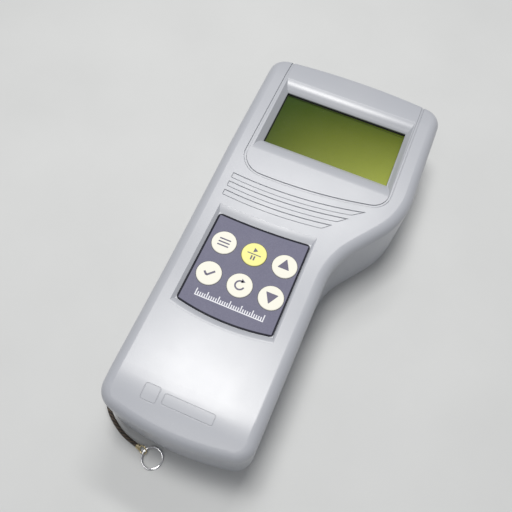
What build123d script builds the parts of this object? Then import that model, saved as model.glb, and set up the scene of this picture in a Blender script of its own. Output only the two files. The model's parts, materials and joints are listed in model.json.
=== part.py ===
"""Handheld weather meter, lying on its back with its face up.

Frame: millimetres, origin at the middle of the case's back, +Y to the display end, +X to the
side where the head flares out, +Z out of the face. Every sub-part is one STEP file in parts/.
"""
from build123d import *
from math import asin, atan2, cos, degrees, hypot, radians, sin, tan
import os

# ---------------------------------------------------------------- driving dimensions (mm)
WIDTH = 87.2            # across the head
LENGTH = 191.0          # head end to foot end
THICKNESS = 41.0        # back to face
WALL = 2.4
PARTING_Z = 19.0        # where the front and rear cases meet
EDGE_RADIUS = 4.5       # round between the face or back and the side walls
LIP_RISE = 1.6          # the rear case's lip stands this far into the front case
LIP_ROOT = 1.5

GRIP_LEFT_X = -42.5
GRIP_RIGHT_X = 19.8     # at the foot
GRIP_MIDDLE_X = -11.2
HEAD_CROWN_X = -1.0     # where the curved head end is highest
CORNER_DROP = 3.8       # from the middle of the head end to its corners
FOOT_DROP = 4.1
SHOULDER_Y = 26.7       # sharp corner of the flare, before its big radius
WAIST = (21.0, -5.0)    # sharp corner where the flare meets the grip
SIDE_BEND_LOW_Y = -30.0
SIDE_BEND_HIGH_Y = 34.0

FOOT_ROLL_Y = -76.0     # the face curves down from here to the foot
FOOT_ROLL_RADIUS = 60.0
FOOT_ROLL_RUN = 24.0
HEAD_ROLL_Y = 80.0
HEAD_ROLL_RADIUS = 50.0
HEAD_ROLL_RUN = 20.0

NAMEPLATE_Y = -82.9
NAMEPLATE_DEPTH = 0.12
NAMEPLATE_LINE = 0.3

# display insert and window
INSERT_LEFT_X = -34.9
INSERT_RIGHT_X = 33.9
INSERT_TAPER = 0.6      # the insert's sides lean in by this much at the head end
INSERT_FOOT_Y = 20.9
INSERT_FOOT_RADIUS = 200.0
INSERT_ARC_X = -18.0    # middle of the insert's curved foot edge, and of the channels below it
RIM_WIDTH = 1.2         # sunk rim of the front case around the insert
RIM_DEPTH = 0.4
RIM_LINE = (0.3, 0.3)   # width and extra depth of the line at the rim's outer edge
SEAM = 0.1              # gap around the insert
INSERT_CORNERS = (11.4, 9.2)
WINDOW_X = (-29.8, 30.2)
WINDOW_Y = (41.8, 73.7)
WINDOW_Z = 37.8         # floor of the display recess
RECESS_X = (-32.4, 32.5)
RECESS_Y = (34.3, 79.6)
RECESS_HEAD_TILT = 10.0 # the head side of the recess starts with this slope, in degrees
LENS_LIP = 0.6
LENS_THICK = 0.8
GASKET_SHOWS = (0.35, 0.2)   # the gasket shows by this much at the window's left and head edges
LENS_X = (-32.0, 32.4)
LENS_Y = (39.8, 75.7)

# grip channels below the insert
CHANNEL_TOPS = (17.2, 12.5, 7.7)
CHANNEL_WIDTH = 2.8
CHANNEL_DEPTH = 0.15
CHANNEL_LINE = (0.3, 0.3)           # width and extra depth of the line round each channel
CHANNEL_RADIUS = 178.0
CHANNEL_LEFT_X = -34.6
CHANNEL_RIGHT_X = (25.9, 20.0, 14.4)
CHANNEL_SLANT = (5.4, 4.2, 3.4)     # the foot side of each channel ends this much earlier

# keypad
KEY_X = (-24.3, -10.7, 2.9)
KEY_Y = (-15.25, -30.4)
KEY_RADIUS = 5.3
KEY_GAP = 0.15
KEY_NAMES = (("key_menu", "key_start", "key_up"), ("key_set", "key_mode", "key_down"))
OVERLAY_LEFT_X = -31.9
OVERLAY_RIGHT_X = 9.5
OVERLAY_TOP_Y = -3.1
OVERLAY_FOOT_Y = -47.4
OVERLAY_TOP_RADIUS = 250.0
OVERLAY_FOOT_RADIUS = 95.0
OVERLAY_TOP_Z = 39.8
OVERLAY_THICK = 0.5
DISH_HEAD_TILT = 15.0   # the head side of the dish round the overlay starts with this slope
POCKET_FLOOR_Z = OVERLAY_TOP_Z - OVERLAY_THICK
POCKET_PLATE = 2.0      # plate of the front case under the overlay
POCKET_GAP = 0.15

# electronics
BOARD_Z = 20.6
BOARD_THICK = 1.6
BOARD_TOP = BOARD_Z + BOARD_THICK
KEY_BOARD_Z = 33.0
KEY_BOARD_TOP = KEY_BOARD_Z + 1.6
LCD_BOARD_Z = 29.0
LCD_GLASS_Z = (34.2, 36.2)
PORT_Z = 27.0           # axis height of the jacks in the left wall
WALL_IN_X = -40.2       # the jacks' bodies end here, inside the left wall
DC_JACK_Y = 24.0
DATA_SOCKET_Y = 8.0
ANALOG_JACK_Y = -7.0
SWITCH_Y = 60.0

# probe socket in the head end
SOCKET_X = 0.0
SOCKET_Z = 28.0
SOCKET_BORE_R = 6.0
SOCKET_DEPTH = 6.0
SOCKET_INSERT_R = 5.2
SOCKET_FRONT_Y = 94.4
SOCKET_FLANGE = 0.7     # the flange stands this far out of the head end

# screws that hold the two cases together
CASE_SCREWS = ((-37.2, -86.6), (14.6, -86.6), (-36.8, 84.4), (36.6, 84.2))
BOARD_SCREWS = ((-37.3, -62.0), (14.6, -62.0), (-38.5, 35.0), (37.8, 44.0))
KEY_BOARD_POSTS = ((-31.4, -5.6), (9.2, -5.6), (-31.4, -44.0), (9.2, -44.0))
LCD_BOARD_POSTS = ((-31.5, 36.2), (31.5, 36.2), (-31.5, 79.6), (31.5, 79.6))

# batteries
CELL_RADIUS = 7.1
CELL_LENGTH = 49.5
CELL_NUB = 1.0
CELL_PITCH = 14.7
CELL_Z = 10.2
TRAY_X = (GRIP_MIDDLE_X - 26.0, GRIP_MIDDLE_X + 26.0)
TRAY_Y = (-82.0, 27.9)
TRAY_Z = (2.5, 18.9)
TRAY_WALL = 1.5
CONTACT_THICK = 0.4
SPRING_LENGTH = 3.2
CELLS_FOOT_Y = TRAY_Y[0] + TRAY_WALL + CONTACT_THICK + SPRING_LENGTH

# battery cover, hinged at its head edge
COVER_HALF = 22.1
COVER_Y = (-80.0, 23.0)   # foot edge, and hinge axis
COVER_Z = (0.2, 2.2)
COVER_GAP = 0.2
HINGE_PIN_R = 0.6
HINGE_PIN_REACH = 1.6
HINGE_GAP = 0.06

# wrist strap tether
CORD_RADIUS = 0.85
STRAP_Y = -74.0
STRAP_Z = 9.0
CORD_ROUTE = ((-42.2, -74.0, 9.0), (-43.9, -74.0, 9.0), (-46.0, -74.9, 8.8), (-47.5, -77.0, 7.7),
              (-47.4, -80.9, 5.9), (-47.2, -84.4, 4.2), (-46.2, -88.1, 2.6), (-43.3, -91.6, 1.5),
              (-39.2, -94.5, 1.1), (-34.9, -96.8, 1.0), (-30.2, -98.2, 1.3), (-26.8, -98.85, 1.7))
STRAP_END_SLEEVE = 1.5
LOOP_RADIUS = 1.75
LOOP_WIRE = 0.35
LOOP_TURN = 45.0        # the loop leans this much about the cord's direction
RING_RADIUS = 4.3
RING_WIRE = 0.42
RING_HEADING = -16.0    # degrees, from the loop to the ring's far side, on the plan
RING_OFFSET = 0.9       # the ring's wire crosses this far beyond the loop's middle


# ---------------------------------------------------------------- small helpers
def box(x, y, z):
    """Box between pairs of limits along X, Y and Z."""
    middle = Pos((x[0] + x[1]) / 2, (y[0] + y[1]) / 2, (z[0] + z[1]) / 2)
    return middle * Box(x[1] - x[0], y[1] - y[0], z[1] - z[0])


def post(x, y, z, radius):
    """Upright cylinder between two heights."""
    return Pos(x, y, (z[0] + z[1]) / 2) * Cylinder(radius, z[1] - z[0])


def rod_x(x, y, z, radius):
    """Cylinder along X between two limits."""
    return Pos((x[0] + x[1]) / 2, y, z) * Rot(0, 90, 0) * Cylinder(radius, x[1] - x[0])


def rod_y(x, y, z, radius):
    """Cylinder along Y between two limits."""
    return Pos(x, (y[0] + y[1]) / 2, z) * Rot(90, 0, 0) * Cylinder(radius, y[1] - y[0])


def frame_at(origin, along, turn=0.0):
    """Plane at a point whose X runs along a direction, turned about it from level."""
    level_side = Vector(*along).cross(Vector(0, 0, 1))
    level = Plane(origin=origin, x_dir=along, z_dir=level_side.cross(Vector(*along)))
    return level * Rot(turn, 0, 0)


def rounded_box(x, y, z, radius):
    """Box with its upright edges rounded."""
    block = box(x, y, z)
    return fillet(block.edges().filter_by(Axis.Z), radius)


def together(pieces):
    """Separate solids kept as one node."""
    return Compound(children=[solid for piece in pieces for solid in piece.solids()])


def save(name, shape):
    export_step(shape, f"parts/{name}.step")


# ---------------------------------------------------------------- case shape
def case_outline(inset=0.0):
    """Plan of the case: a straight left side, and a head that flares out to the right."""
    half = WIDTH / 2
    end = LENGTH / 2
    corners = {
        (-half, end - CORNER_DROP): 8.5,
        (half, end - CORNER_DROP): 9.5,
        (half, SHOULDER_Y): 40.0,
        WAIST: 35.0,
        (GRIP_RIGHT_X, -end + FOOT_DROP): 8.0,
        (GRIP_LEFT_X, -end + FOOT_DROP): 8.0,
        (GRIP_LEFT_X, SIDE_BEND_LOW_Y): 900.0,
        (-half, SIDE_BEND_HIGH_Y): 900.0,
    }
    points = list(corners)
    with BuildSketch() as plan:
        with BuildLine():
            ThreePointArc(points[0], (HEAD_CROWN_X, end), points[1])
            Polyline(points[1:5])
            ThreePointArc(points[4], ((GRIP_LEFT_X + GRIP_RIGHT_X) / 2, -end), points[5])
            Polyline(points[5:] + points[:1])
        make_face()
    face = plan.sketch
    for (x, y), radius in corners.items():
        corner = face.vertices().sort_by_distance((x, y, 0))[0]
        face = fillet(corner, radius)
    return offset(face, amount=-inset) if inset else face


def face_profile(inset=0.0):
    """Side view of the case, run across its width: flat, rolling down at both ends."""
    top = THICKNESS - inset
    head_radius = HEAD_ROLL_RADIUS - inset
    foot_radius = FOOT_ROLL_RADIUS - inset
    head_turn = degrees(asin(HEAD_ROLL_RUN / head_radius))
    foot_turn = degrees(asin(FOOT_ROLL_RUN / foot_radius))
    with BuildSketch(Plane.YZ) as profile:
        with BuildLine():
            Line((FOOT_ROLL_Y, top), (HEAD_ROLL_Y, top))
            head = JernArc((HEAD_ROLL_Y, top), (1, 0), head_radius, -head_turn)
            foot = JernArc((FOOT_ROLL_Y, top), (-1, 0), foot_radius, foot_turn)
            Polyline(head @ 1, ((head @ 1).X, inset), ((foot @ 1).X, inset), foot @ 1)
        make_face()
    return extrude(profile.sketch, amount=WIDTH, both=True)


def case_solid(inset=0.0):
    """The whole case as one solid, or the space inside it."""
    body = extrude(Pos(0, 0, inset) * case_outline(inset), THICKNESS) & face_profile(inset)
    radius = EDGE_RADIUS - inset
    rim = [
        edge for edge in body.edges()
        if edge.center().Z > THICKNESS - inset - 6
        and abs(edge.tangent_at(0.5).Z) < 0.9
        and not (edge.geom_type == GeomType.LINE and abs(edge.tangent_at(0).X) > 0.99)
    ]
    body = fillet(rim, radius)
    return fillet(body.edges().group_by(Axis.Z)[0], radius)


def insert_outline(inset=0.0):
    """U-shaped plan of the display insert, open past the head end."""
    left, right = INSERT_LEFT_X + inset, INSERT_RIGHT_X - inset
    foot = INSERT_FOOT_Y + inset
    reach = INSERT_FOOT_RADIUS - inset

    def arc_y(x):
        return foot + reach - (reach ** 2 - (x - INSERT_ARC_X) ** 2) ** 0.5

    past_end = LENGTH / 2 + 5
    with BuildSketch() as plan:
        with BuildLine():
            ThreePointArc((left, arc_y(left)), (INSERT_ARC_X, foot), (right, arc_y(right)))
            Polyline((right, arc_y(right)), (right + INSERT_TAPER, past_end),
                     (left + INSERT_TAPER, past_end), (left, arc_y(left)))
        make_face()
    face = plan.sketch
    for x, radius in zip((left, right), INSERT_CORNERS):
        corner = face.vertices().sort_by_distance((x, arc_y(x), 0))[0]
        face = fillet(corner, radius - inset)
    return face


def roll_down(mouth, run, depth, tilt, side):
    """Convex arc from the face down to a dish's floor, starting at its tilt in degrees."""
    half_turn = atan2(depth, run) - radians(tilt)
    radius = hypot(run, depth) / (2 * sin(half_turn))
    heading = (side * cos(radians(tilt)), -sin(radians(tilt)))
    return JernArc((mouth, THICKNESS), heading, radius, -side * degrees(2 * half_turn))


def rolled_cut(plane, flat, opening, floor, tilts):
    """A dish run along the plane's normal. flat is its floor, opening its mouth. Each side
    rolls down from the face, starting at its tilt, or is straight if that is None."""
    top = THICKNESS
    with BuildSketch(plane) as profile:
        with BuildLine():
            Line((flat[0], floor), (flat[1], floor))
            for near, far, tilt in zip(flat, opening, tilts):
                if tilt is None:
                    Line((near, floor), (far, top))
                else:
                    roll_down(far, abs(near - far), top - floor, tilt, 1 if near > far else -1)
            Polyline((opening[0], top), (opening[0], top + 3), (opening[1], top + 3), (opening[1], top))
        make_face()
    return extrude(profile.sketch, amount=LENGTH, both=True)


def display_recess():
    along = rolled_cut(Plane.YZ, WINDOW_Y, RECESS_Y, WINDOW_Z, (0.0, RECESS_HEAD_TILT))
    across = rolled_cut(Plane.XZ, WINDOW_X, RECESS_X, WINDOW_Z, (None, None))
    return along & across


# ---------------------------------------------------------------- keypad shapes
def overlay_outline(grow=0.0):
    """Plan of the keypad overlay: upright sides, and gently curved head and foot edges."""
    left, right = OVERLAY_LEFT_X - grow, OVERLAY_RIGHT_X + grow
    top, foot = OVERLAY_TOP_Y + grow, OVERLAY_FOOT_Y - grow

    def top_y(x):
        return top + OVERLAY_TOP_RADIUS - (OVERLAY_TOP_RADIUS ** 2 - (x - INSERT_ARC_X) ** 2) ** 0.5

    def foot_y(x):
        reach = OVERLAY_FOOT_RADIUS + grow
        return foot + reach - (reach ** 2 - (x - GRIP_MIDDLE_X) ** 2) ** 0.5

    with BuildSketch() as plan:
        with BuildLine():
            ThreePointArc((left, top_y(left)), (INSERT_ARC_X, top), (right, top_y(right)))
            Line((right, top_y(right)), (right, foot_y(right)))
            ThreePointArc((right, foot_y(right)), (GRIP_MIDDLE_X, foot), (left, foot_y(left)))
            Line((left, foot_y(left)), (left, top_y(left)))
        make_face()
    return fillet(plan.sketch.vertices(), 1.7 + grow)


def ring_wall(centre, radius, run, tilt, side):
    """Body of revolution about an upright axis whose wall rolls from the face to the dish
    floor. It lies beyond the wall where side is 1, and within it where side is -1."""
    floor = OVERLAY_TOP_Z - 0.05
    mouth = radius - side * run
    far = radius + side * 60.0
    with BuildSketch(Plane.XZ) as profile:
        with BuildLine():
            arc = roll_down(mouth, run, THICKNESS - floor, tilt, side)
            Polyline(arc @ 1, (far, floor), (far, THICKNESS + 3), (mouth, THICKNESS + 3),
                     (mouth, THICKNESS))
        make_face()
    return Pos(centre[0], centre[1], 0) * revolve(profile.sketch, Axis.Z)


def keypad_dish():
    """Shallow dish around the overlay: a broad roll at its head, a shorter one at its foot."""
    sides = rolled_cut(Plane.XZ, (OVERLAY_LEFT_X - 0.2, OVERLAY_RIGHT_X + 0.2),
                       (OVERLAY_LEFT_X - 1.5, OVERLAY_RIGHT_X + 1.6), OVERLAY_TOP_Z - 0.05,
                       (None, 0.0))
    head_centre = (INSERT_ARC_X, OVERLAY_TOP_Y + OVERLAY_TOP_RADIUS)
    foot_centre = (GRIP_MIDDLE_X, OVERLAY_FOOT_Y + OVERLAY_FOOT_RADIUS)
    head = ring_wall(head_centre, OVERLAY_TOP_RADIUS - 0.2, 3.6, DISH_HEAD_TILT, 1)
    foot = ring_wall(foot_centre, OVERLAY_FOOT_RADIUS + 0.3, 3.0, 0.0, -1)
    return sides & head & foot


def key_cap(x, y):
    """Cap with a softly domed top, and a flange that keeps it under the front case."""
    top = OVERLAY_TOP_Z + 0.4
    flange_top = POCKET_FLOOR_Z - POCKET_PLATE - 0.05
    cap = post(x, y, (flange_top - 0.2, top), KEY_RADIUS)
    cap = fillet(cap.edges().group_by(Axis.Z)[-1], 0.35)
    return cap + post(x, y, (flange_top - 1.0, flange_top), KEY_RADIUS + 1.0)


def key_dome(x, y):
    """Rubber dome between the key board and a cap: hollow skirt and solid plunger."""
    base = KEY_BOARD_TOP
    top = POCKET_FLOOR_Z - POCKET_PLATE - 1.05
    skirt = Pos(x, y, (base + top) / 2) * Cone(4.6, 2.4, top - base)
    hollow = Pos(x, y, base + 0.25) * Cone(3.9, 3.2, 0.5)
    return skirt - hollow


# ---------------------------------------------------------------- case halves and insert
def shell_lip(grow):
    """Ring that stands on the rear case and enters the front case."""
    foot = PARTING_Z - LIP_ROOT
    height = LIP_ROOT + LIP_RISE
    outer = extrude(Pos(0, 0, foot) * case_outline(WALL / 2 - grow), height + grow)
    inner = extrude(Pos(0, 0, foot - 1) * case_outline(WALL + grow), height + 2)
    return outer - inner


def grip_channels():
    """Shallow channels under the display insert, curved like its foot edge."""
    floor = THICKNESS - CHANNEL_DEPTH
    channels = []
    for top_y, right_x, slant in zip(CHANNEL_TOPS, CHANNEL_RIGHT_X, CHANNEL_SLANT):
        def arc_y(x, y0):
            return y0 + (x - INSERT_ARC_X) ** 2 / (2 * CHANNEL_RADIUS)
        low = top_y - CHANNEL_WIDTH
        left_x = CHANNEL_LEFT_X
        tip_x = right_x - slant
        with BuildSketch(Plane.XY.offset(floor)) as plan:
            with BuildLine():
                ThreePointArc((left_x, arc_y(left_x, top_y)), (INSERT_ARC_X, top_y),
                              (right_x, arc_y(right_x, top_y)))
                Line((right_x, arc_y(right_x, top_y)), (tip_x, arc_y(tip_x, low)))
                ThreePointArc((tip_x, arc_y(tip_x, low)), (INSERT_ARC_X, low),
                              (left_x, arc_y(left_x, low)))
                Line((left_x, arc_y(left_x, low)), (left_x, arc_y(left_x, top_y)))
            make_face()
        band = plan.sketch
        tip = band.vertices().sort_by_distance((tip_x, arc_y(tip_x, low), floor))[0]
        band = fillet(tip, 3.0)
        line = band - offset(band, amount=-CHANNEL_LINE[0])
        channels.append(extrude(band, 2.0))
        channels.append(extrude(Pos(0, 0, -CHANNEL_LINE[1]) * line, 2.0))
    return channels


def nameplate_grooves(body):
    """Shallow outlines of two blank plates, let into the sloping foot of the face."""
    rings = []
    for x, wide, tall in ((-23.5, 6.4, 6.4), (-8.2, 20.6, 4.4)):
        plan = Pos(x, NAMEPLATE_Y) * RectangleRounded(wide, tall, 1.0)
        inner = RectangleRounded(wide - 2 * NAMEPLATE_LINE, tall - 2 * NAMEPLATE_LINE, 0.7)
        plan -= Pos(x, NAMEPLATE_Y) * inner
        rings.append(extrude(Pos(0, 0, 30) * plan, 15))
    return (rings[0] + rings[1]) - Pos(0, 0, -NAMEPLATE_DEPTH) * body


def front_case(outer, shell):
    case = shell & box((-60, 60), (-120, 120), (PARTING_Z, 50))
    pad = box((OVERLAY_LEFT_X - 2.6, OVERLAY_RIGHT_X + 2.6), (OVERLAY_FOOT_Y - 3, OVERLAY_TOP_Y + 3.4),
              (POCKET_FLOOR_Z - POCKET_PLATE, THICKNESS))
    case += pad & outer
    core = case_solid(WALL / 2)
    for x, y in CASE_SCREWS:
        case += post(x, y, (PARTING_Z, THICKNESS), 3.4) & core
    for x, y in BOARD_SCREWS:
        case += post(x, y, (BOARD_TOP, THICKNESS), 2.6) & core
    for x, y in KEY_BOARD_POSTS:
        case += post(x, y, (KEY_BOARD_TOP, POCKET_FLOOR_Z - 1), 1.7)
    opening = extrude(insert_outline(RIM_WIDTH), THICKNESS + 5)
    rim_line = insert_outline() - insert_outline(RIM_LINE[0])
    for plan, depth in ((insert_outline(), RIM_DEPTH), (rim_line, RIM_DEPTH + RIM_LINE[1])):
        level = extrude(Pos(0, 0, THICKNESS - depth) * plan, 10)
        sloped = extrude(plan, THICKNESS + 5) - Pos(0, 0, -depth) * outer
        case -= level & box((-60, 60), (0, HEAD_ROLL_Y), (0, 60))
        case -= sloped & box((-60, 60), (HEAD_ROLL_Y, 120), (PARTING_Z + 8, 60))
    case -= opening & box((-60, 60), (0, 120), (PARTING_Z - 1, 60))
    case -= keypad_dish()
    case -= extrude(Pos(0, 0, POCKET_FLOOR_Z) * overlay_outline(POCKET_GAP), 5)
    for y in KEY_Y:
        for x in KEY_X:
            case -= post(x, y, (30, 50), KEY_RADIUS + KEY_GAP)
    for x, y in CASE_SCREWS:
        case -= post(x, y, (PARTING_Z - 1, 31), 1.55)
    for x, y in BOARD_SCREWS:
        case -= post(x, y, (BOARD_TOP - 1, 30), 1.15)
    for x, y in KEY_BOARD_POSTS:
        case -= post(x, y, (KEY_BOARD_TOP - 1, 38), 0.85)
    case -= shell_lip(0.1)
    for y, radius in ((DC_JACK_Y, 4.25), (DATA_SOCKET_Y, 5.75), (ANALOG_JACK_Y, 3.25)):
        case -= rod_x((-50, -35), y, PORT_Z, radius)
    case -= box((-50, -38), (SWITCH_Y - 5.0, SWITCH_Y + 5.0), (PORT_Z - 2.1, PORT_Z + 2.1))
    case -= nameplate_grooves(outer)
    for channel in grip_channels():
        case -= channel
    return case


def rear_case(shell):
    case = shell & box((-60, 60), (-120, 120), (-1, PARTING_Z))
    lip = shell_lip(0.0)
    for x, y in CASE_SCREWS:
        case += post(x, y, (0.5, PARTING_Z - 0.05), 3.8) & case_solid()
        lip -= post(x, y, (0, 40), 3.6)
    lip -= box((SOCKET_X - 11, SOCKET_X + 11), (80, 100), (0, 40))
    case += lip
    for x, y in CASE_SCREWS:
        case -= post(x, y, (-1, 9.0), 3.1)
        case -= post(x, y, (0, 40), 1.7)
    slab = (GRIP_MIDDLE_X - COVER_HALF - COVER_GAP, GRIP_MIDDLE_X + COVER_HALF + COVER_GAP)
    head_edge = COVER_Y[1] + 1.0 + COVER_GAP
    case -= box(slab, (COVER_Y[0] - COVER_GAP, head_edge), (-1, WALL + 0.1))
    reach = HINGE_PIN_REACH + 0.2
    case -= rod_x((slab[0] - reach, slab[1] + reach), COVER_Y[1], sum(COVER_Z) / 2, HINGE_PIN_R + HINGE_GAP)
    finger = Pos(GRIP_MIDDLE_X, COVER_Y[0] - 1.0, -2.2) * Sphere(7.0)
    case -= finger & box((-60, 60), (-120, COVER_Y[0] + 1), (-1, 1.5))
    case -= box((-22, 36), (44, 76), (-1, 0.4))
    case -= rod_x((-50, -30), STRAP_Y, STRAP_Z, 2.15)
    return case


def battery_cover():
    """Flat cover in the back, with a round head edge that turns on two short pins."""
    across = (GRIP_MIDDLE_X - COVER_HALF, GRIP_MIDDLE_X + COVER_HALF)
    middle_z = sum(COVER_Z) / 2
    cover = box(across, COVER_Y, COVER_Z)
    cover += rod_x(across, COVER_Y[1], middle_z, (COVER_Z[1] - COVER_Z[0]) / 2)
    reach = (across[0] - HINGE_PIN_REACH, across[1] + HINGE_PIN_REACH)
    cover += rod_x(reach, COVER_Y[1], middle_z, HINGE_PIN_R)
    for step in range(6):
        y = COVER_Y[0] + 4.0 + 1.8 * step
        cover -= box((GRIP_MIDDLE_X - 9, GRIP_MIDDLE_X + 9), (y, y + 0.9), (0, 0.7))
    return cover


def display_insert(outer, shell):
    """Face plate of the head with the display recess; it also closes the head end."""
    plan = insert_outline(RIM_WIDTH + SEAM)
    zone = extrude(plan, THICKNESS + 5) & box((-60, 60), (0, 120), (PARTING_Z + 0.1, 60))
    insert = shell & zone
    block = rounded_box((-34.0, 34.0), (32.6, 80.8), (LCD_GLASS_Z[1] + 0.1, THICKNESS - 1), 3.0)
    insert += block & zone
    insert -= box((-30.6, 31.0), (41.0, 74.5), (30, WINDOW_Z - LENS_LIP))
    insert -= box((LENS_X[0] - 0.1, LENS_X[1] + 0.1), (LENS_Y[0] - 0.1, LENS_Y[1] + 0.1),
                  (30, WINDOW_Z - LENS_LIP))
    insert -= box(WINDOW_X, WINDOW_Y, (30, 45))
    insert -= display_recess()
    flange = extrude(Pos(0, 0, THICKNESS - WALL - 1.2) * insert_outline(RIM_WIDTH - 1.6), 1.1)
    flange -= extrude(Pos(0, 0, 30) * insert_outline(RIM_WIDTH + 2.4), 15)
    insert += flange & box((-60, 60), (0, HEAD_ROLL_Y - 2), (0, 60))
    for x, y in LCD_BOARD_POSTS:
        foot = post(x, y, (LCD_BOARD_Z + 1.6, WINDOW_Z - 0.5), 2.0)
        insert += foot & zone
    insert -= shell_lip(0.1)
    insert -= rod_y(SOCKET_X, (80, 110), SOCKET_Z, 7.1)
    insert -= rod_y(SOCKET_X, (SOCKET_FRONT_Y - 0.3, 110), SOCKET_Z, 8.7)
    for x, y in LCD_BOARD_POSTS:
        insert -= post(x, y, (LCD_BOARD_Z, WINDOW_Z - 2.5), 0.85)
    return insert


# ---------------------------------------------------------------- fasteners
def screw(x, y, seat, length, radius, head_radius, head_height):
    """Cross-head screw driven upwards; seat is the height of the head's upper side."""
    shank = post(x, y, (seat, seat + length), radius)
    head = post(x, y, (seat - head_height, seat), head_radius)
    head = fillet(head.edges().group_by(Axis.Z)[0], head_height * 0.35)
    slot = head_radius * 0.62
    width = head_radius * 0.2
    depth = (seat - head_height - 1, seat - head_height * 0.45)
    cross = box((x - slot, x + slot), (y - width, y + width), depth)
    cross += box((x - width, x + width), (y - slot, y + slot), depth)
    return shank + head - cross


def main():
    os.makedirs("parts", exist_ok=True)
    outer = case_solid()
    shell = outer - case_solid(WALL)

    save("front_case", front_case(outer, shell))
    save("rear_case", rear_case(shell))
    save("battery_cover", battery_cover())
    save("display_insert", display_insert(outer, shell))
    save("case_screws", together([screw(x, y, 9.0, 18.0, 1.5, 2.8, 2.2) for x, y in CASE_SCREWS]))
    save("rating_plate", rounded_box((-21.8, 35.8), (44.2, 75.8), (0.1, 0.4), 1.5))
    save_display()
    save_keypad()
    save_boards()
    save_ports()
    save_batteries()
    save_strap()


# ---------------------------------------------------------------- display stack
def save_display():
    lens = rounded_box(LENS_X, LENS_Y, (WINDOW_Z - LENS_LIP - LENS_THICK, WINDOW_Z - LENS_LIP), 1.0)
    save("display_lens", lens)
    gasket_z = (LCD_GLASS_Z[1], WINDOW_Z - LENS_LIP - LENS_THICK)
    gasket = box(LENS_X, LENS_Y, gasket_z)
    gasket -= box((WINDOW_X[0] + GASKET_SHOWS[0], WINDOW_X[1]), (WINDOW_Y[0], WINDOW_Y[1] - GASKET_SHOWS[1]),
                  (30, 40))
    save("display_gasket", gasket)
    glass = box((-32.4, 32.8), (38.6, 77.6), LCD_GLASS_Z)
    save("lcd_glass", glass)
    frame = box((-33.6, 34.0), (37.4, 78.8), (LCD_BOARD_Z + 1.6, LCD_GLASS_Z[1]))
    frame -= box((-32.5, 32.9), (38.5, 77.7), (LCD_GLASS_Z[0], 40))
    frame -= box((-31.0, 31.4), (40.0, 76.2), (LCD_BOARD_Z, 40))
    for x, y in LCD_BOARD_POSTS:
        frame -= post(x, y, (20, 40), 2.6)
    save("lcd_frame", frame)
    strips = [box((-29, 29), (y, y + 2.0), (LCD_BOARD_Z + 1.6, LCD_GLASS_Z[0])) for y in (40.4, 73.8)]
    save("lcd_contact_strips", together(strips))
    board = box((-34.0, 34.4), (33.8, 81.6), (LCD_BOARD_Z, LCD_BOARD_Z + 1.6))
    for x, y in LCD_BOARD_POSTS:
        board -= post(x, y, (20, 40), 1.1)
    save("lcd_board", board)
    screws = [screw(x, y, LCD_BOARD_Z, 5.0, 0.8, 1.8, 1.2) for x, y in LCD_BOARD_POSTS]
    save("lcd_board_screws", together(screws))
    header = box((-20, 20), (34.4, 36.9), (BOARD_TOP, LCD_BOARD_Z))
    save("lcd_header", header)


# ---------------------------------------------------------------- keypad
def save_keypad():
    overlay = extrude(Pos(0, 0, POCKET_FLOOR_Z) * overlay_outline(), OVERLAY_THICK)
    for y in KEY_Y:
        for x in KEY_X:
            overlay -= post(x, y, (30, 50), KEY_RADIUS + KEY_GAP)
    save("keypad_overlay", overlay)
    for y, names in zip(KEY_Y, KEY_NAMES):
        for x, name in zip(KEY_X, names):
            save(name, key_cap(x, y))
            save(name.replace("key_", "dome_"), key_dome(x, y))
    board = rounded_box((OVERLAY_LEFT_X - 2.0, OVERLAY_RIGHT_X + 2.0),
                        (OVERLAY_FOOT_Y + 0.6, OVERLAY_TOP_Y + 0.4), (KEY_BOARD_Z, KEY_BOARD_TOP), 2.0)
    for x, y in KEY_BOARD_POSTS:
        board -= post(x, y, (20, 40), 1.0)
    save("key_board", board)
    screws = [screw(x, y, KEY_BOARD_Z, 4.0, 0.8, 1.7, 1.1) for x, y in KEY_BOARD_POSTS]
    save("key_board_screws", together(screws))
    cable_x = (GRIP_MIDDLE_X - 6, GRIP_MIDDLE_X + 6)
    cable = box(cable_x, (-52.3, -43.0), (KEY_BOARD_Z - 0.3, KEY_BOARD_Z))
    cable += box(cable_x, (-52.3, -52.0), (BOARD_TOP + 2.6, KEY_BOARD_Z))
    save("key_cable", cable)
    socket = box((cable_x[0] - 1.5, cable_x[1] + 1.5), (-54.0, -50.2), (BOARD_TOP, BOARD_TOP + 2.6))
    save("key_cable_socket", socket)


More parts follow.
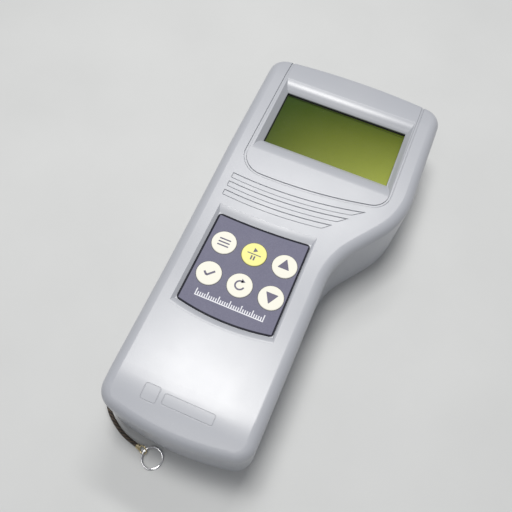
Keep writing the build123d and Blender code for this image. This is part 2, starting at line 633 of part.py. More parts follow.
# ---------------------------------------------------------------- main board
def save_boards():
    with BuildSketch(Plane.XY.offset(BOARD_Z)) as plan:
        with BuildLine():
            Polyline((-40.0, 77.0), (40.0, 77.0), (40.0, 38.0), (16.6, 4.0), (16.6, -78.0),
                     (-39.0, -78.0), (-39.0, -20.0), (-40.0, 40.0), close=True)
        make_face()
    board = extrude(plan.sketch, BOARD_THICK)
    for x, y in BOARD_SCREWS:
        board -= post(x, y, (0, 40), 1.3)
    save("main_board", board)
    screws = [screw(x, y, BOARD_Z, 7.0, 1.1, 2.2, 1.3) for x, y in BOARD_SCREWS]
    save("main_board_screws", together(screws))
    chips = []
    for x, y, wide, deep, tall in ((-4, 58, 20, 20, 2.2), (22, 62, 14, 10, 2.0), (20, 46, 10, 7, 1.8),
                                   (-12, -20, 18, 12, 2.4), (-24, 44, 9, 6, 1.6), (0, -62, 12, 8, 1.8)):
        body = box((x - wide / 2, x + wide / 2), (y - deep / 2, y + deep / 2),
                   (BOARD_TOP + 0.2, BOARD_TOP + tall))
        pins = int(wide // 1.6)
        for number in range(pins):
            along = x - (pins - 1) * 0.8 + 1.6 * number
            body += box((along - 0.25, along + 0.25), (y - deep / 2 - 1.0, y + deep / 2 + 1.0),
                        (BOARD_TOP, BOARD_TOP + 0.7))
        chips.append(body)
    save("board_chips", together(chips))
    cans = []
    for x, y, radius, tall in ((-28, -40, 4.0, 8.0), (4, -40, 3.2, 7.0),
                               (-20, 30, 2.5, 5.5), (12, 24, 2.5, 5.5)):
        can = post(x, y, (BOARD_TOP, BOARD_TOP + tall), radius)
        cans.append(fillet(can.edges().group_by(Axis.Z)[-1], 0.5))
    save("board_capacitors", together(cans))
    buzzer = post(-10, 8, (BOARD_TOP, BOARD_TOP + 5.0), 7.0) - post(-10, 8, (BOARD_TOP + 3.5, 40), 1.5)
    save("buzzer", buzzer)


# ---------------------------------------------------------------- sockets and switch
def save_ports():
    body_z = (BOARD_TOP, PORT_Z + 4.2)
    half = 4.6
    jack = box((WALL_IN_X, -28.0), (DC_JACK_Y - half, DC_JACK_Y + half), body_z)
    jack += rod_x((-43.2, WALL_IN_X), DC_JACK_Y, PORT_Z, 4.1)
    jack -= rod_x((-50, -33.0), DC_JACK_Y, PORT_Z, 2.8)
    save("dc_jack", jack)
    save("dc_jack_pin", rod_x((-42.2, -33.0), DC_JACK_Y, PORT_Z, 1.0))

    socket = box((WALL_IN_X, -30.0), (DATA_SOCKET_Y - 6.2, DATA_SOCKET_Y + 6.2), (BOARD_TOP, PORT_Z + 5.8))
    socket += rod_x((-42.9, WALL_IN_X), DATA_SOCKET_Y, PORT_Z, 5.6)
    socket -= rod_x((-50, -37.0), DATA_SOCKET_Y, PORT_Z, 4.5)
    contact_ring = [(DATA_SOCKET_Y + 2.8 * cos(radians(45 * n + 22.5)),
                     PORT_Z + 2.8 * sin(radians(45 * n + 22.5))) for n in range(8)]
    for y, z in contact_ring:
        socket -= rod_x((-38, -32.5), y, z, 0.45)
    save("data_socket", socket)

    jack = box((WALL_IN_X, -27.5), (ANALOG_JACK_Y - 3.6, ANALOG_JACK_Y + 3.6), (BOARD_TOP, PORT_Z + 3.4))
    jack += rod_x((-42.7, WALL_IN_X), ANALOG_JACK_Y, PORT_Z, 3.1)
    jack -= rod_x((-50, -29.0), ANALOG_JACK_Y, PORT_Z, 1.8)
    save("analog_jack", jack)

    body = box((-41.0, -36.4), (SWITCH_Y - 7.0, SWITCH_Y + 7.0), (BOARD_TOP, PORT_Z + 2.6))
    body -= box((-42, -38.6), (SWITCH_Y - 4.6, SWITCH_Y + 4.6), (PORT_Z - 1.7, PORT_Z + 1.7))
    save("power_switch", body)
    near = SWITCH_Y - 4.3
    slider = box((-43.1, -38.9), (near, near + 4.2), (PORT_Z - 1.5, PORT_Z + 1.5))
    for step in range(3):
        y = near + 0.7 + 1.2 * step
        slider -= box((-44, -42.8), (y, y + 0.5), (PORT_Z - 2, PORT_Z + 2))
    save("power_slider", slider)

    front = SOCKET_FRONT_Y
    mouth = front + SOCKET_FLANGE
    floor = mouth - SOCKET_DEPTH
    shell = rod_y(SOCKET_X, (front - 11.0, front - 0.3), SOCKET_Z, 7.0)
    shell += rod_y(SOCKET_X, (front - 0.3, mouth), SOCKET_Z, 8.5)
    shell -= rod_y(SOCKET_X, (floor, mouth + 1), SOCKET_Z, SOCKET_BORE_R)
    shell -= rod_y(SOCKET_X, (front - 12.0, mouth), SOCKET_Z, SOCKET_INSERT_R)
    save("probe_socket", shell)
    insert = rod_y(SOCKET_X, (front - 10.8, floor), SOCKET_Z, SOCKET_INSERT_R)
    spots = [(SOCKET_X + 3.6 * cos(radians(45 * n)), SOCKET_Z + 3.6 * sin(radians(45 * n))) for n in range(8)]
    for x, z in spots:
        insert -= rod_y(x, (front - 10.0, front + 2), z, 0.8)
    save("probe_socket_insert", insert)
    contacts = []
    for x, z in spots:
        sleeve = rod_y(x, (front - 10.0, front - 5.6), z, 0.8) - rod_y(x, (front - 9.0, front), z, 0.5)
        contacts.append(sleeve)
    save("probe_socket_contacts", together(contacts))
    nut_y = (front - 6.2, front - 3.8)
    with BuildSketch(Plane.XZ) as hexagon:
        RegularPolygon(8.8, 6)
    nut = Pos(SOCKET_X, nut_y[1], SOCKET_Z) * extrude(hexagon.sketch, nut_y[1] - nut_y[0])
    nut -= rod_y(SOCKET_X, (80, 100), SOCKET_Z, 7.0)
    save("probe_socket_nut", nut)


# ---------------------------------------------------------------- batteries
def cell(x, foot_y):
    """One AA cell with its positive nub towards the head."""
    top = foot_y + CELL_LENGTH
    can = rod_y(x, (foot_y, top), CELL_Z, CELL_RADIUS)
    can = fillet(can.edges().filter_by(GeomType.CIRCLE), 0.7)
    return can + rod_y(x, (top, top + CELL_NUB), CELL_Z, 2.65)


def coil_spring(x, foot_y, length):
    """Contact spring as stacked turns joined by a post of wire."""
    turns = []
    wire = 0.35
    for number in range(4):
        y = foot_y + wire + number * (length - 2 * wire) / 3
        turns.append(Pos(x, y, CELL_Z) * Rot(90, 0, 0) * Torus(3.6 - 0.35 * number, wire))
    spring = turns[0]
    for turn in turns[1:]:
        spring += turn
    return spring + rod_y(x, (foot_y + wire, foot_y + length - wire), CELL_Z + 3.05, 0.6)


def save_batteries():
    columns = [GRIP_MIDDLE_X + CELL_PITCH * step for step in (-1, 0, 1)]
    tray = box(TRAY_X, TRAY_Y, TRAY_Z)
    inner = ((TRAY_X[0] + 3.0, TRAY_X[1] - 3.0), (TRAY_Y[0] + TRAY_WALL, TRAY_Y[1] - TRAY_WALL))
    tray -= box(inner[0], inner[1], (0, TRAY_Z[1] - TRAY_WALL))
    for x in (columns[0] + CELL_PITCH / 2, columns[1] + CELL_PITCH / 2):
        tray += box((x - 0.35, x + 0.35), (inner[1][0] + 3, inner[1][1] - 3), (13.5, TRAY_Z[1] - 1))
    save("battery_tray", tray)
    cells = []
    pitch = CELL_LENGTH + CELL_NUB
    for x in columns:
        for row in range(2):
            cells.append(cell(x, CELLS_FOOT_Y + row * pitch))
    save("battery_cells", together(cells))
    springs = [coil_spring(x, CELLS_FOOT_Y - SPRING_LENGTH, SPRING_LENGTH) for x in columns]
    save("battery_springs", together(springs))
    plates = []
    for x in columns:
        for y in (inner[1][0], inner[1][1] - CONTACT_THICK):
            plates.append(box((x - 5.5, x + 5.5), (y, y + CONTACT_THICK), (CELL_Z - 5.5, CELL_Z + 5.5)))
    save("battery_contacts", together(plates))


# ---------------------------------------------------------------- wrist strap tether
def cord_line():
    """Centre line of the cord: straight runs joined by arcs as large as the runs allow."""
    points = [Vector(*point) for point in CORD_ROUTE]
    runs = [points[n + 1] - points[n] for n in range(len(points) - 1)]
    radii = []
    for before, after in zip(runs, runs[1:]):
        half_turn = radians(before.get_angle(after)) / 2
        radii.append(0.45 * min(before.length, after.length) / tan(half_turn))
    print("cord radii", [round(radius, 1) for radius in radii])
    return FilletPolyline(*points, radius=radii)


def save_strap():
    ferrule = rod_x((-43.4, -37.6), STRAP_Y, STRAP_Z, 2.1)
    ferrule += rod_x((-43.4, -42.7), STRAP_Y, STRAP_Z, 2.9)
    ferrule -= rod_x((-50, CORD_ROUTE[0][0]), STRAP_Y, STRAP_Z, CORD_RADIUS + 0.1)
    save("strap_ferrule", ferrule)

    line = cord_line()
    section = Plane(origin=line @ 0, z_dir=line % 0) * Circle(CORD_RADIUS)
    cord = sweep(section, path=line)
    print("cord length", round(line.length, 2), "volume ratio",
          round(cord.volume / (3.14159265 * CORD_RADIUS ** 2 * line.length), 4))
    save("strap_cord", cord)

    end, heading = line @ 1, (line % 1).normalized()
    leaning = frame_at(end, tuple(heading), LOOP_TURN)
    sleeve = leaning * Pos(STRAP_END_SLEEVE / 2, 0, 0) * Rot(0, 90, 0) * Cylinder(1.1, STRAP_END_SLEEVE)
    reach = STRAP_END_SLEEVE + LOOP_RADIUS - 0.1
    save("strap_loop", sleeve + leaning * Pos(reach, 0, 0) * Torus(LOOP_RADIUS, LOOP_WIRE))

    away = Vector(cos(radians(RING_HEADING)), sin(radians(RING_HEADING)), 0)
    crossing = end + heading * reach + away * RING_OFFSET
    dip = asin((crossing.Z - RING_WIRE) / (2 * RING_RADIUS))
    outward = away * cos(dip) - Vector(0, 0, sin(dip))
    print("ring hinge", [round(value, 3) for value in crossing], "axis",
          [round(value, 4) for value in (away.Y, -away.X, 0)])
    ring = frame_at(crossing + outward * RING_RADIUS, tuple(outward))
    save("split_ring", ring * Torus(RING_RADIUS, RING_WIRE))


if __name__ == "__main__":
    main()
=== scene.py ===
"""Looks of the handheld weather meter, in metres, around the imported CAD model.

The case, keys, sockets and inner pieces are the CAD nodes with procedural materials. The cord, the
split ring, the key legends and the printed scale under the keys are pieces of their own.
"""
import json
from math import cos, pi, radians, sin

import bmesh
import bpy
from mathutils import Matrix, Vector


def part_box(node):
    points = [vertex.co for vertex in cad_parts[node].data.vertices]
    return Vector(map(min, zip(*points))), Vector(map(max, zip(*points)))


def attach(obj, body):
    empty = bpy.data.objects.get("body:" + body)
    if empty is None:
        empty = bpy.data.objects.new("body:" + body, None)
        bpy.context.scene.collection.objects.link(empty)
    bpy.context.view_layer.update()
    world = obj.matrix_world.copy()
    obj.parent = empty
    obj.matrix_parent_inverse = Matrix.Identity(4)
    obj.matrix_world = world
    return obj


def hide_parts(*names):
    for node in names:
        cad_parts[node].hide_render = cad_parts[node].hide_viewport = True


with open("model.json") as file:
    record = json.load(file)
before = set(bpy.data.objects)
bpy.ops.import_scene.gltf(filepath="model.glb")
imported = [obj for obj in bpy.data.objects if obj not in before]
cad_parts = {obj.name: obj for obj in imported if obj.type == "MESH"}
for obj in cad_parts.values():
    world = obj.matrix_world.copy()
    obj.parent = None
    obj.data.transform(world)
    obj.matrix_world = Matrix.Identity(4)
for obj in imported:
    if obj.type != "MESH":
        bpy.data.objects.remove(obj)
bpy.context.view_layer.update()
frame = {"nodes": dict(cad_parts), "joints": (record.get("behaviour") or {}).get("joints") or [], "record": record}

MM = 0.001

# ---------------------------------------------------------------- camera
CAMERA_AT = (0.0199, -0.1127, 0.2482)
CAMERA_TURN = (25.866, -2.758, 22.641)   # degrees about X, Y and Z
LENS_MM = 39.375
SENSOR_MM = 36.0

camera_data = bpy.data.cameras.new("camera")
camera_data.lens = LENS_MM
camera_data.sensor_width = SENSOR_MM
camera_data.clip_start = 10 * MM
camera = bpy.data.objects.new("camera", camera_data)
camera.location = CAMERA_AT
camera.rotation_euler = [radians(turn) for turn in CAMERA_TURN]
scene = bpy.context.scene
scene.collection.objects.link(camera)
scene.camera = camera
scene.view_settings.view_transform = "Standard"


# ---------------------------------------------------------------- materials
BODY_GREY = (0.422, 0.438, 0.478)
BODY_WORN = (0.465, 0.477, 0.510)
# olive display greens: painted shade, half shade and the painted reflection of the lens, spread over the display
# in lcd()
LCD_PAINTED_SHADE = (0.024, 0.062, 0.001)
LCD_HALF_SHADE = (0.150, 0.192, 0.015)
LCD_PAINTED_GLARE = (0.425, 0.486, 0.080)


class Paint:
    """A material under construction: short ways to add nodes that feed its Principled shader."""

    def __init__(self, name, roughness=0.5, metallic=0.0, specular=0.5):
        self.material = bpy.data.materials.new(name)
        self.material.use_nodes = True
        self.tree = self.material.node_tree
        self.shader = self.tree.nodes["Principled BSDF"]
        self.shader.inputs["Roughness"].default_value = roughness
        self.shader.inputs["Metallic"].default_value = metallic
        self.shader.inputs["Specular IOR Level"].default_value = specular
        self.place = self.add("ShaderNodeTexCoord").outputs["Object"]

    def add(self, kind, inputs=(), **settings):
        node = self.tree.nodes.new(kind)
        for key, value in settings.items():
            setattr(node, key, value)
        for key, value in dict(inputs).items():
            self.feed(node.inputs[key], value)
        return node

    def feed(self, socket, value):
        if isinstance(value, bpy.types.NodeSocket):
            self.tree.links.new(value, socket)
        elif socket.type == "RGBA" and len(value) == 3:
            socket.default_value = (*value, 1.0)
        else:
            socket.default_value = value

    def math(self, operation, a, b=0.0):
        return self.add("ShaderNodeMath", {0: a, 1: b}, operation=operation).outputs[0]

    def near(self, value, target, within):
        """1 where value lies within a distance of the target, and 0 elsewhere."""
        band = self.math("COMPARE", value, target)
        band.node.inputs[2].default_value = within
        return band

    def axes(self):
        split = self.add("ShaderNodeSeparateXYZ", {0: self.place})
        return split.outputs[0], split.outputs[1], split.outputs[2]

    def noise(self, size_mm, detail=2.0, stretch=None, roughness=0.5):
        """Noise whose blotches are about size_mm across, drawn out along an axis by stretch."""
        place = self.place
        if stretch:
            place = self.add("ShaderNodeMapping", {"Vector": place, "Scale": stretch}).outputs[0]
        inputs = {"Vector": place, "Scale": 1 / (size_mm * MM), "Detail": detail, "Roughness": roughness}
        return self.add("ShaderNodeTexNoise", inputs).outputs["Fac"]

    def spread(self, value, low, high, onto=(0.0, 1.0)):
        """value from low..high moved onto a new range, held at its ends."""
        inputs = {"Value": value, "From Min": low, "From Max": high, "To Min": onto[0], "To Max": onto[1]}
        return self.add("ShaderNodeMapRange", inputs).outputs[0]

    def mix(self, share, a, b):
        node = self.add("ShaderNodeMix", data_type="RGBA")
        self.feed(node.inputs[0], share)
        self.feed(node.inputs[6], a)
        self.feed(node.inputs[7], b)
        return node.outputs[2]

    def edges(self, radius_mm):
        """Near 1 on sharp outer edges and 0 on flat faces, and the rounded normal itself."""
        rounded = self.add("ShaderNodeBevel", {"Radius": radius_mm * MM}, samples=4).outputs[0]
        plain = self.add("ShaderNodeNewGeometry").outputs["Normal"]
        along = self.add("ShaderNodeVectorMath", {0: rounded, 1: plain}, operation="DOT_PRODUCT")
        return self.spread(along.outputs["Value"], 0.999, 0.86), rounded

    def bump(self, height, depth_mm, strength=1.0, normal=None):
        inputs = {"Height": height, "Distance": depth_mm * MM, "Strength": strength}
        if normal is not None:
            inputs["Normal"] = normal
        return self.add("ShaderNodeBump", inputs).outputs[0]

    def finish(self, colour=None, roughness=None, normal=None):
        for name, value in (("Base Color", colour), ("Roughness", roughness), ("Normal", normal)):
            if value is not None:
                self.feed(self.shader.inputs[name], value)
        return self.material


def moulded(name, colour, worn, roughness, grain_mm=0.45, grain_depth=0.02, edge_mm=0.35, specular=0.5):
    """Moulded plastic: fine spark-eroded grain, faint blotches and slightly polished edges."""
    paint = Paint(name, roughness, specular=specular)
    edge, rounded = paint.edges(edge_mm)
    blotch = paint.spread(paint.noise(28.0, 3.0), 0.3, 0.7)
    colour = paint.mix(paint.math("MULTIPLY", blotch, 0.35), colour, worn)
    colour = paint.mix(paint.math("MULTIPLY", edge, 0.45), colour, worn)
    specks = paint.spread(paint.noise(0.7, 2.0), 0.70, 0.78)
    colour = paint.mix(paint.math("MULTIPLY", specks, 0.10), colour, (0.9, 0.9, 0.9))
    grain = paint.noise(grain_mm, 3.0, roughness=0.6)
    shine = paint.spread(paint.noise(9.0, 4.0), 0.3, 0.7, (roughness - 0.012, roughness + 0.012))
    return paint.finish(colour, shine, paint.bump(grain, grain_depth, 0.6, rounded))


def metal(name, colour, dark, roughness):
    """Plated or brushed metal with fine scratches, and darker where it is handled less."""
    paint = Paint(name, roughness, metallic=1.0)
    tarnish = paint.spread(paint.noise(3.0, 4.0), 0.35, 0.75)
    scratch = paint.noise(0.5, 3.0, stretch=(1.0, 6.0, 1.0))
    shine = paint.spread(scratch, 0.3, 0.7, (roughness * 0.7, roughness * 1.4))
    return paint.finish(paint.mix(tarnish, colour, dark), shine, paint.bump(scratch, 0.01, 0.4))


def overlay_film():
    """Printed keypad film: violet grey field inside a dark navy border that follows its outline."""
    paint = Paint("overlay_film", 0.45, specular=0.12)
    x, y, _ = paint.axes()
    crown = paint.math("POWER", paint.math("ADD", x, 18.0 * MM), 2.0)
    top = paint.math("ADD", paint.math("DIVIDE", crown, 500.0 * MM), -3.1 * MM)
    belly = paint.math("POWER", paint.math("ADD", x, 11.2 * MM), 2.0)
    foot = paint.math("ADD", paint.math("DIVIDE", belly, 190.0 * MM), -47.4 * MM)
    inward = paint.math("MINIMUM", paint.math("SUBTRACT", x, -31.9 * MM), paint.math("SUBTRACT", 9.5 * MM, x))
    inward = paint.math("MINIMUM", inward, paint.math("SUBTRACT", top, y))
    inward = paint.math("MINIMUM", inward, paint.math("SUBTRACT", y, foot))
    field = paint.spread(inward, 0.70 * MM, 0.80 * MM)
    weave = paint.spread(paint.noise(0.5, 3.0), 0.3, 0.7)
    print_colour = paint.mix(weave, (0.155, 0.155, 0.220), (0.182, 0.180, 0.250))
    colour = paint.mix(field, (0.007, 0.008, 0.018), print_colour)
    dull = paint.spread(paint.noise(6.0, 4.0), 0.3, 0.7, (0.40, 0.52))
    return paint.finish(colour, dull, paint.bump(paint.noise(0.35, 2.0), 0.012, 0.5))


def lcd():
    """Unlit display: olive green with painted shade and a painted reflection, darker towards the head end and the
    left and lighter towards the foot and the right, and a thin dark line near its top edge.
    """
    paint = Paint("lcd", 0.3, specular=0.1)
    x, y, _ = paint.axes()
    across = paint.spread(x, -30.0 * MM, 30.0 * MM)
    down = paint.spread(y, 74.0 * MM, 42.0 * MM)
    # painted reflection: the share of glare grows towards the foot and the right, most in the lower right corner,
    # and the rest is painted shade
    level = paint.math("ADD", paint.math("MULTIPLY", across, 0.18), paint.math("MULTIPLY", down, 0.12))
    corner = paint.math("MULTIPLY", paint.math("MULTIPLY", across, down), 0.70)
    glare_share = paint.math("ADD", level, corner)
    low = paint.mix(paint.spread(glare_share, 0.0, 0.3), LCD_PAINTED_SHADE, LCD_HALF_SHADE)
    colour = paint.mix(paint.spread(glare_share, 0.3, 1.0), low, LCD_PAINTED_GLARE)
    cells = paint.spread(paint.noise(0.6, 2.0), 0.35, 0.65)
    colour = paint.mix(paint.math("MULTIPLY", cells, 0.08), colour, (0.03, 0.05, 0.012))
    # a thin dark line painted across the display just under its top edge, slanting down towards the right
    sloping = paint.math("ADD", y, paint.math("MULTIPLY", across, 0.7 * MM))
    top_dark_line = paint.near(sloping, 73.1 * MM, 0.11 * MM)
    colour = paint.mix(top_dark_line, colour, (0.012, 0.016, 0.008))
    shine = paint.spread(paint.noise(12.0, 3.0), 0.3, 0.7, (0.26, 0.34))
    return paint.finish(colour, shine, paint.bump(paint.noise(0.3, 1.0), 0.004, 0.3))


def window():
    """Clear lens over the display, with a faint haze of handling."""
    paint = Paint("window", 0.06, specular=0.3)
    haze = paint.spread(paint.noise(14.0, 4.0), 0.35, 0.75)
    paint.shader.inputs["Alpha"].default_value = 0.08
    shine = paint.spread(haze, 0.0, 1.0, (0.04, 0.12))
    return paint.finish(paint.mix(haze, (0.02, 0.022, 0.018), (0.06, 0.06, 0.05)), shine)


def rating_foil():
    """Blank rating plate: satin foil with a printed frame and ruled rows, and nothing written."""
    paint = Paint("plate_foil", 0.34, metallic=0.7)
    x, y, _ = paint.axes()
    from_side = paint.math("SUBTRACT", 28.8 * MM, paint.math("ABSOLUTE", paint.math("SUBTRACT", x, 7.0 * MM)))
    from_end = paint.math("SUBTRACT", 15.8 * MM, paint.math("ABSOLUTE", paint.math("SUBTRACT", y, 60.0 * MM)))
    inward = paint.math("MINIMUM", from_side, from_end)
    frame_line = paint.near(inward, 1.6 * MM, 0.2 * MM)
    row = paint.math("PINGPONG", paint.math("SUBTRACT", y, 60.0 * MM), 3.5 * MM)
    rule = paint.math("LESS_THAN", row, 0.1 * MM)
    rule = paint.math("MULTIPLY", rule, paint.math("GREATER_THAN", inward, 1.6 * MM))
    ink = paint.math("MAXIMUM", frame_line, rule)
    brushed = paint.spread(paint.noise(0.6, 3.0, stretch=(0.03, 1.0, 1.0)), 0.3, 0.7)
    foil = paint.mix(brushed, (0.60, 0.61, 0.63), (0.72, 0.73, 0.75))
    shine = paint.spread(brushed, 0.0, 1.0, (0.28, 0.42))
    return paint.finish(paint.mix(ink, foil, (0.05, 0.05, 0.06)), shine)


def circuit_board():
    """Green solder resist with copper traces under it."""
    paint = Paint("board_green", 0.28)
    cells = paint.add("ShaderNodeTexVoronoi", {"Vector": paint.place, "Scale": 260.0}, distance="MANHATTAN")
    trace = paint.math("LESS_THAN", paint.math("PINGPONG", cells.outputs["Distance"], 0.12), 0.03)
    colour = paint.mix(trace, (0.012, 0.10, 0.035), (0.03, 0.20, 0.07))
    return paint.finish(colour, paint.spread(paint.noise(5.0), 0.3, 0.7, (0.22, 0.36)),
                        paint.bump(trace, 0.03, 0.5))


def braid():
    """Mottled black and brown braid, wound both ways round the cord."""
    paint = Paint("cord", 0.62)
    along = paint.add("ShaderNodeTexCoord").outputs["UV"]
    split = paint.add("ShaderNodeSeparateXYZ", {0: along})
    turns, run = split.outputs[1], split.outputs[0]
    plaits = []
    for hand in (1.0, -1.0):
        wound = paint.math("MULTIPLY", turns, 8.0 * hand * pi)
        angle = paint.math("ADD", paint.math("MULTIPLY", run, 150.0), wound)
        plaits.append(paint.math("SINE", angle))
    over = paint.math("MAXIMUM", plaits[0], plaits[1])
    fleck = paint.math("GREATER_THAN", plaits[0], 0.55)
    worn = paint.spread(paint.noise(0.8, 3.0), 0.4, 0.6)
    dark = paint.mix(worn, (0.014, 0.012, 0.011), (0.05, 0.036, 0.026))
    colour = paint.mix(paint.math("MULTIPLY", fleck, 0.6), dark, (0.16, 0.115, 0.075))
    return paint.finish(colour, normal=paint.bump(over, 0.12, 0.8))


def printed(name, colour):
    """Screen-printed ink with thin and thick patches."""
    paint = Paint(name, 0.45)
    thin = paint.spread(paint.noise(0.6, 3.0), 0.3, 0.75)
    pale = tuple(channel * 0.82 + 0.02 for channel in colour)
    return paint.finish(paint.mix(thin, colour, pale), normal=paint.bump(thin, 0.004, 0.4))


def floor_paint():
    """Pale matt board."""
    paint = Paint("floor", 0.75)
    patch = paint.spread(paint.noise(60.0, 4.0), 0.3, 0.7)
    fibre = paint.noise(1.2, 4.0)
    return paint.finish(paint.mix(patch, (0.61, 0.62, 0.62), (0.64, 0.65, 0.65)),
                        normal=paint.bump(fibre, 0.02, 0.3))


materials = {
    "case_plastic": moulded("case_plastic", BODY_GREY, BODY_WORN, 0.30, edge_mm=0.2, specular=0.6),
    "key_cream": moulded("key_cream", (0.84, 0.83, 0.73), (0.86, 0.85, 0.77), 0.42, 0.3, 0.01, 0.2, 0.15),
    "key_yellow": moulded("key_yellow", (0.87, 0.84, 0.30), (0.89, 0.86, 0.37), 0.42, 0.3, 0.01, 0.2, 0.15),
    "black_plastic": moulded("black_plastic", (0.018, 0.018, 0.02), (0.05, 0.05, 0.055), 0.42,
                             0.4, 0.015, 0.15),
    "rubber_grey": moulded("rubber_grey", (0.22, 0.22, 0.23), (0.30, 0.30, 0.31), 0.62, 0.5, 0.02, 0.2),
    "black_foam": moulded("black_foam", (0.012, 0.012, 0.012), (0.03, 0.03, 0.03), 0.85, 0.35, 0.05, 0.1),
    "ribbon": moulded("ribbon", (0.42, 0.24, 0.06), (0.55, 0.36, 0.12), 0.3, 0.6, 0.01, 0.05),
    "cell_wrap": moulded("cell_wrap", (0.03, 0.035, 0.05), (0.08, 0.09, 0.11), 0.25, 0.8, 0.005, 0.3),
    "steel": metal("steel", (0.50, 0.50, 0.52), (0.36, 0.36, 0.37), 0.34),
    "bright_steel": metal("bright_steel", (0.80, 0.80, 0.82), (0.62, 0.62, 0.63), 0.16),
    "brass": metal("brass", (0.80, 0.70, 0.46), (0.62, 0.50, 0.28), 0.22),
    "overlay_film": overlay_film(),
    "lcd": lcd(),
    "window": window(),
    "plate_foil": rating_foil(),
    "board_green": circuit_board(),
    "cord": braid(),
}
ink_dark = printed("ink_dark", (0.075, 0.065, 0.135))
ink_white = printed("ink_white", (0.78, 0.79, 0.84))

for part in frame["record"]["subparts"]:
    mesh = frame["nodes"][part["node"]].data
    mesh.materials.clear()
    mesh.materials.append(materials[part["material_slot"]])


# ---------------------------------------------------------------- strap
CORD_POINTS = (
    (-0.0422, -0.0740, 0.0090), (-0.0439, -0.0740, 0.0090), (-0.0460, -0.0749, 0.0088),
    (-0.0475, -0.0770, 0.0077), (-0.0474, -0.0809, 0.0059), (-0.0472, -0.0844, 0.0042),
    (-0.0462, -0.0881, 0.0026), (-0.0433, -0.0916, 0.0015), (-0.0392, -0.0945, 0.0011),
    (-0.0349, -0.0968, 0.0010), (-0.0302, -0.0982, 0.0013), (-0.0268, -0.09885, 0.0017))
CORD_DIAMETER = 1.7 * MM
RING_RADIUS = 4.3 * MM
RING_WIRE = 0.42 * MM
RING_TURNS = 2
STEPS_PER_TURN = 72
WIRE_CORNERS = 12
RING_START = 0.9        # where the wire's first end lies round the ring, in radians


def piece(name, data, body):
    thing = bpy.data.objects.new(name, data)
    scene.collection.objects.link(thing)
    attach(thing, body)
    return thing


def cord_piece():
    line = bpy.data.curves.new("strap_braid", "CURVE")
    line.dimensions = "3D"
    line.bevel_depth = CORD_DIAMETER / 2
    line.bevel_resolution = 6
    line.resolution_u = 12
    line.use_fill_caps = True
    spline = line.splines.new("NURBS")
    spline.points.add(len(CORD_POINTS) - 1)
    for point, place in zip(spline.points, CORD_POINTS):
        point.co = (*place, 1.0)
    spline.order_u = 3
    spline.use_endpoint_u = True
    line.materials.append(materials["cord"])
    thing = piece("strap_braid", line, "meter")
    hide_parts("strap_cord")
    return thing


def flattened(value):
    """Sine or cosine pushed outwards, which turns a round section into one with flatter sides."""
    return abs(value) ** 0.6 * (1 if value >= 0 else -1)


def split_ring_piece():
    """Two flat turns of wire wound on each other, in the place of the plain hoop."""
    node_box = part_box("split_ring")
    middle = (Vector(node_box[0]) + Vector(node_box[1])) / 2
    hinge = next(joint for joint in frame["joints"] if joint["name"] == "ring_swing")
    crossing = Vector(hinge["pos_m"])
    outward = (middle - crossing).normalized()
    side = Vector(hinge["axis"]).normalized()
    axis = outward.cross(side).normalized()
    width, thick = RING_WIRE * 0.85, RING_WIRE * 0.46
    shape = bmesh.new()
    rims = []
    count = int(RING_TURNS * STEPS_PER_TURN * 0.98)
    for number in range(count + 1):
        angle = 2 * pi * number / STEPS_PER_TURN + RING_START
        from_middle = number / count - 0.5
        rise = from_middle * 2 * (RING_WIRE - thick)
        level = max(-1.0, min(1.0, from_middle * 7.0)) * (RING_WIRE - thick)
        level = level * 0.85 + rise * 0.15
        radial = outward * cos(angle) + side * sin(angle)
        centre = middle + radial * RING_RADIUS + axis * level
        rim = []
        for corner in range(WIRE_CORNERS):
            turn = 2 * pi * corner / WIRE_CORNERS
            offset = radial * flattened(cos(turn)) * width + axis * flattened(sin(turn)) * thick
            rim.append(shape.verts.new(centre + offset))
        rims.append(rim)
    for first, second in zip(rims, rims[1:]):
        for corner in range(WIRE_CORNERS):
            following = (corner + 1) % WIRE_CORNERS
            shape.faces.new((first[corner], first[following], second[following], second[corner]))
    shape.faces.new(rims[0][::-1])
    shape.faces.new(rims[-1])
    bmesh.ops.recalc_face_normals(shape, faces=shape.faces)
    mesh = bpy.data.meshes.new("split_ring_turns")
    shape.to_mesh(mesh)
    shape.free()
    for face in mesh.polygons:
        face.use_smooth = True
    mesh.materials.append(materials["bright_steel"])
    thing = piece("split_ring_turns", mesh, "ring")
    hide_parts("split_ring")
    return thing


strap_braid = cord_piece()
ring_turns = split_ring_piece()


# ---------------------------------------------------------------- printed marks
INK = 0.03              # a print reaches this far into and out of its surface, in millimetres


def slab(name, outlines, node, body, ink):
    """Thin print on the top of a CAD node: flat outlines in millimetres, a hair above it."""
    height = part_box(node)[1][2] / MM
    shape = bmesh.new()
    for outline in outlines:
        low = [shape.verts.new((x, y, height - INK)) for x, y in outline]
        high = [shape.verts.new((x, y, height + INK)) for x, y in outline]
        shape.faces.new(low[::-1])
        shape.faces.new(high)
        for number in range(len(outline)):
            following = (number + 1) % len(outline)
            shape.faces.new((low[number], low[following], high[following], high[number]))
    bmesh.ops.recalc_face_normals(shape, faces=shape.faces)
    bmesh.ops.scale(shape, vec=(MM, MM, MM), verts=shape.verts)
    mesh = bpy.data.meshes.new(name)
    shape.to_mesh(mesh)
    shape.free()
    mesh.materials.append(ink)
    return piece(name, mesh, body)


def bar(x, y, wide, tall, turn=0.0):
    """Rectangle about a middle, turned by degrees."""
    c, s = cos(radians(turn)), sin(radians(turn))
    corners = ((-wide / 2, -tall / 2), (wide / 2, -tall / 2), (wide / 2, tall / 2), (-wide / 2, tall / 2))
    return [(x + c * u - s * v, y + s * u + c * v) for u, v in corners]


def soft(outline, radius, steps=4):
    """The outline with its corners cut round."""
    rounded = []
    for number, corner in enumerate(outline):
        here = Vector(corner)
        before = (Vector(outline[number - 1]) - here).normalized()
        after = (Vector(outline[(number + 1) % len(outline)]) - here).normalized()
        for step in range(steps + 1):
            share = step / steps
            start, end = here + before * radius, here + after * radius
            spot = start * (1 - share) ** 2 + here * 2 * share * (1 - share) + end * share ** 2
            rounded.append(tuple(spot))
    return rounded


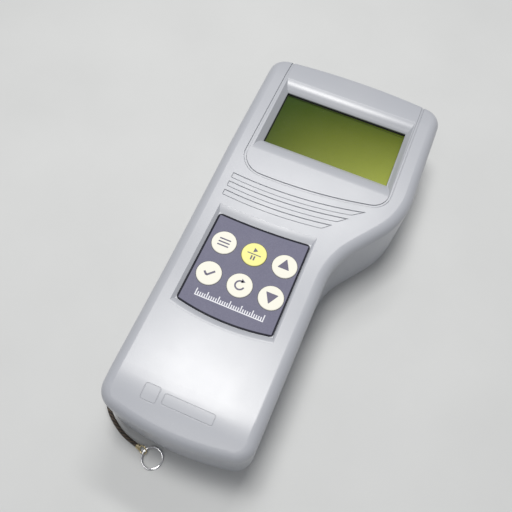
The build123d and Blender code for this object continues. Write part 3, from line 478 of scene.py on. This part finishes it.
def arc_band(x, y, radius, wide, start, end, steps=24):
    """Part of a ring from one angle to another, in degrees."""
    angles = [radians(start + (end - start) * step / steps) for step in range(steps + 1)]
    outer = [(x + (radius + wide / 2) * cos(a), y + (radius + wide / 2) * sin(a)) for a in angles]
    inner = [(x + (radius - wide / 2) * cos(a), y + (radius - wide / 2) * sin(a)) for a in reversed(angles)]
    return outer + inner


def key_middle(key):
    low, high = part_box(f"key_{key}")
    return (low[0] + high[0]) / 2 / MM, (low[1] + high[1]) / 2 / MM


def key_legends():
    """A plain icon on each key."""
    x, y = key_middle("menu")
    menu = [soft(bar(x, y + offset, 5.0, 0.6), 0.2) for offset in (-1.5, 0.0, 1.5)]
    x, y = key_middle("set")
    tick = [bar(x - 1.35, y - 0.5, 2.0, 0.85, -45.0), bar(x + 0.75, y + 0.18, 3.9, 0.85, 45.0)]
    x, y = key_middle("mode")
    turn = [arc_band(x, y, 1.9, 0.7, 60.0, 350.0), [(x, y + 1.15), (x, y + 3.05), (x + 1.75, y + 1.95)]]
    x, y = key_middle("start")
    start = [soft([(x - 0.75, y + 0.75), (x + 1.05, y + 1.85), (x - 0.75, y + 2.95)], 0.15),
             bar(x, y, 6.0, 0.4),
             bar(x - 0.6, y - 1.75, 0.65, 2.0), bar(x + 0.6, y - 1.75, 0.65, 2.0)]
    x, y = key_middle("up")
    up = [soft([(x - 0.16, y + 3.44), (x - 2.72, y - 1.28), (x + 2.32, y - 1.28)], 0.35)]
    x, y = key_middle("down")
    down = [soft([(x - 2.80, y + 1.95), (x - 0.16, y - 2.85), (x + 2.56, y + 1.95)], 0.35)]
    legends = {"menu": menu, "set": tick, "mode": turn, "start": start, "up": up, "down": down}
    for key, outlines in legends.items():
        slab(f"legend_{key}", outlines, f"key_{key}", f"{key}_key", ink_dark)


def film_scale():
    """Plain tick scale under the keys."""
    left, right, foot = -25.9, 3.7, -41.1
    ticks, tick_wide, line_wide = 31, 0.45, 0.4
    pitch = (right - left - tick_wide) / (ticks - 1)
    marks = [bar((left + right) / 2, foot + line_wide / 2, right - left, line_wide)]
    for number in range(ticks):
        tall = (3.1 if number % 5 == 0 else 1.9) - line_wide
        x = left + tick_wide / 2 + pitch * number
        marks.append(bar(x, foot + line_wide + tall / 2, tick_wide, tall))
    slab("film_scale", marks, "keypad_overlay", "meter", ink_white)


key_legends()
film_scale()


# ---------------------------------------------------------------- floor and light
FLOOR_HALF = 3.0
OBJECT_MIDDLE = (0.0, 0.0, 0.02)
LAMP_WHITE = (1.0, 0.985, 0.96)
SKY_WHITE = (0.93, 0.95, 1.0, 1.0)


def area_light(name, at, wide, deep, watts):
    """Soft box at a place, turned towards the object."""
    data = bpy.data.lights.new(name, "AREA")
    data.shape = "RECTANGLE"
    data.size = wide
    data.size_y = deep
    data.energy = watts
    data.color = LAMP_WHITE
    lamp = bpy.data.objects.new(name, data)
    lamp.location = at
    lamp.rotation_euler = (Vector(OBJECT_MIDDLE) - Vector(at)).to_track_quat("-Z", "Y").to_euler()
    scene.collection.objects.link(lamp)


floor_mesh = bpy.data.meshes.new("floor")
floor_mesh.from_pydata([(-FLOOR_HALF, -FLOOR_HALF, 0), (FLOOR_HALF, -FLOOR_HALF, 0),
                        (FLOOR_HALF, FLOOR_HALF, 0), (-FLOOR_HALF, FLOOR_HALF, 0)], [], [(0, 1, 2, 3)])
floor_mesh.materials.append(floor_paint())
floor = bpy.data.objects.new("floor", floor_mesh)
scene.collection.objects.link(floor)

area_light("overhead", (-0.100, 0.052, 0.806), 0.20, 0.24, 3.65)
area_light("strip", (-0.080, 0.480, 0.806), 0.38, 0.06, 2.35)
area_light("foot_fill", (-0.040, -0.420, 0.806), 0.36, 0.12, 0.75)

world = bpy.data.worlds.new("studio")
world.use_nodes = True
sky = world.node_tree.nodes["Background"]
sky.inputs["Color"].default_value = SKY_WHITE
sky.inputs["Strength"].default_value = 0.25
scene.world = world
